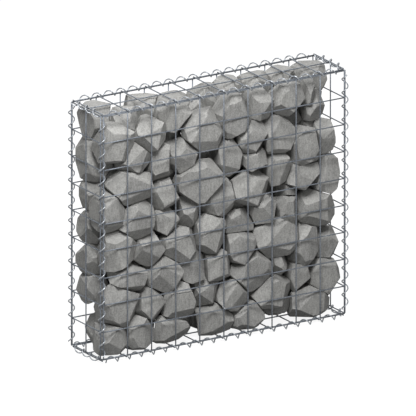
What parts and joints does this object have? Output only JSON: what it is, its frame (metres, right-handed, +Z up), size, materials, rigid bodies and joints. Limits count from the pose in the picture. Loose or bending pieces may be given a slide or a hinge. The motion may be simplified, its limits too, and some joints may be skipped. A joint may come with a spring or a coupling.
{
  "type": "gabion wall",
  "caption": "Free-standing gabion wall: a tall, narrow welded mesh basket laced along its edges with spiral wire and filled with angular grey stones.",
  "frame": {"origin": "middle of the footprint, at the level that the wall rests on", "axes": "X along the wall, Y through it from front to back, Z up; the front faces -Y"},
  "size_m": [1.0372, 0.2325, 0.9377],
  "materials": {
    "mesh_wire": "satin",
    "spiral_wire": "satin",
    "stone": "matte"
  },
  "bodies": {
    "root": {"panel_back": "mesh_wire", "panel_base": "mesh_wire", "panel_front": "mesh_wire", "panel_left_end": "mesh_wire", "panel_lid": "mesh_wire", "panel_right_end": "mesh_wire", "spiral_back_left": "spiral_wire", "spiral_back_right": "spiral_wire", "spiral_base_back": "spiral_wire", "spiral_base_front": "spiral_wire", "spiral_base_left_end": "spiral_wire", "spiral_base_right_end": "spiral_wire", "spiral_front_left": "spiral_wire", "spiral_front_right": "spiral_wire", "spiral_lid_back": "spiral_wire", "spiral_lid_front": "spiral_wire", "spiral_lid_left_end": "spiral_wire", "spiral_lid_right_end": "spiral_wire", "stones_back_1": "stone", "stones_back_2": "stone", "stones_back_3": "stone", "stones_back_4": "stone", "stones_back_5": "stone", "stones_back_6": "stone", "stones_back_7": "stone", "stones_back_8": "stone", "stones_back_9": "stone", "stones_front_1": "stone", "stones_front_2": "stone", "stones_front_3": "stone", "stones_front_4": "stone", "stones_front_5": "stone", "stones_front_6": "stone", "stones_front_7": "stone", "stones_front_8": "stone", "stones_front_9": "stone"}
  },
  "joints": []
}
